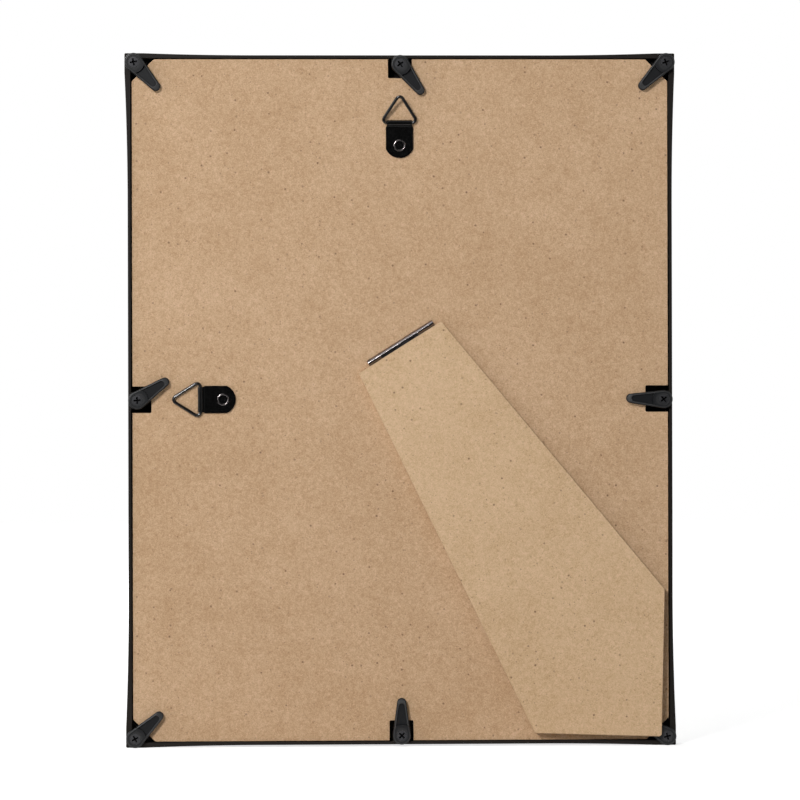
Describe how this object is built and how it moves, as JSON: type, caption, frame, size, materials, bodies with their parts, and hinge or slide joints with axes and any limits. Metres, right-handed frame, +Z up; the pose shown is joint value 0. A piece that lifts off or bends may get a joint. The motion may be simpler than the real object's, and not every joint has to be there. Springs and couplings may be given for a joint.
{
  "type": "easel back photo frame",
  "caption": "Slim moulded photo frame with a fibreboard back held by turn buttons, a hinged easel leg and wire hanger rings for either way up.",
  "frame": {"origin": "middle of the overall box at the surface that the frame stands on", "axes": "+Z up, the long way of the frame; -Y out of its front; +Y out of its back; +X to the left as seen from behind"},
  "size_m": [0.2858, 0.0218, 0.3601],
  "materials": {
    "moulded_frame": "satin black moulded plastic",
    "clear_pane": "clear and glossy",
    "paper_insert": "plain matt paper",
    "backing_fibreboard": "raw thin fibreboard, mottled tan",
    "leg_fibreboard": "raw thin fibreboard, a little paler",
    "button_plastic": "satin black moulded plastic",
    "blackened_screw": "blackened steel",
    "black_nickel": "bright black nickel plate",
    "black_enamel": "gloss black enamel on steel",
    "black_wire": "gloss black enamel on steel wire"
  },
  "bodies": {
    "frame": {"frame_moulding": "moulded_frame", "glazing_pane": "clear_pane", "insert_sheet": "paper_insert", "backing_board": "backing_fibreboard", "hinge_leaf_board": "black_nickel", "hinge_rivets": "black_nickel", "hinge_pin": "black_nickel", "hanger_strap_top": "black_enamel", "hanger_eyelet_top": "black_nickel", "hanger_strap_side": "black_enamel", "hanger_eyelet_side": "black_nickel", "turn_button_screws": "blackened_screw"},
    "leg": {"easel_leg": "leg_fibreboard", "hinge_leaf_leg": "black_nickel"},
    "ring_top": {"hanger_ring_top": "black_wire"},
    "ring_side": {"hanger_ring_side": "black_wire"},
    "button_top_left": {"turn_button_top_left": "button_plastic"},
    "button_top": {"turn_button_top": "button_plastic"},
    "button_top_right": {"turn_button_top_right": "button_plastic"},
    "button_left": {"turn_button_left": "button_plastic"},
    "button_right": {"turn_button_right": "button_plastic"},
    "button_bottom_left": {"turn_button_bottom_left": "button_plastic"},
    "button_bottom": {"turn_button_bottom": "button_plastic"},
    "button_bottom_right": {"turn_button_bottom_right": "button_plastic"}
  },
  "joints": [
    {"name": "leg_swing", "type": "hinge", "parent": "frame", "child": "leg", "pos_m": [0, 0.00394, 0.20945], "axis": [0.8462, 0, -0.5329], "range_deg": [0, 28.95]},
    {"name": "ring_top_swing", "type": "hinge", "parent": "frame", "child": "ring_top", "pos_m": [0.00035, 0.00454, 0.32395], "axis": [-1, 0, 0], "range_deg": [-20.12, 139.88]},
    {"name": "ring_side_swing", "type": "hinge", "parent": "frame", "child": "ring_side", "pos_m": [0.104, 0.00454, 0.18045], "axis": [0, 0, 1], "range_deg": [-1.65, 158.35]},
    {"name": "button_top_left_turn", "type": "hinge", "parent": "frame", "child": "button_top_left", "pos_m": [0.1382, 0.00454, 0.35535], "axis": [0, 1, 0], "continuous": true},
    {"name": "button_top_turn", "type": "hinge", "parent": "frame", "child": "button_top", "pos_m": [0, 0.00454, 0.3543], "axis": [0, 1, 0], "continuous": true},
    {"name": "button_top_right_turn", "type": "hinge", "parent": "frame", "child": "button_top_right", "pos_m": [-0.1382, 0.00454, 0.35535], "axis": [0, 1, 0], "continuous": true},
    {"name": "button_left_turn", "type": "hinge", "parent": "frame", "child": "button_left", "pos_m": [0.1367, 0.00454, 0.18005], "axis": [0, 1, 0], "continuous": true},
    {"name": "button_right_turn", "type": "hinge", "parent": "frame", "child": "button_right", "pos_m": [-0.1367, 0.00454, 0.18005], "axis": [0, 1, 0], "continuous": true},
    {"name": "button_bottom_left_turn", "type": "hinge", "parent": "frame", "child": "button_bottom_left", "pos_m": [0.1382, 0.00454, 0.00475], "axis": [0, 1, 0], "continuous": true},
    {"name": "button_bottom_turn", "type": "hinge", "parent": "frame", "child": "button_bottom", "pos_m": [0, 0.00454, 0.0058], "axis": [0, 1, 0], "continuous": true},
    {"name": "button_bottom_right_turn", "type": "hinge", "parent": "frame", "child": "button_bottom_right", "pos_m": [-0.1382, 0.00454, 0.00475], "axis": [0, 1, 0], "continuous": true}
  ]
}
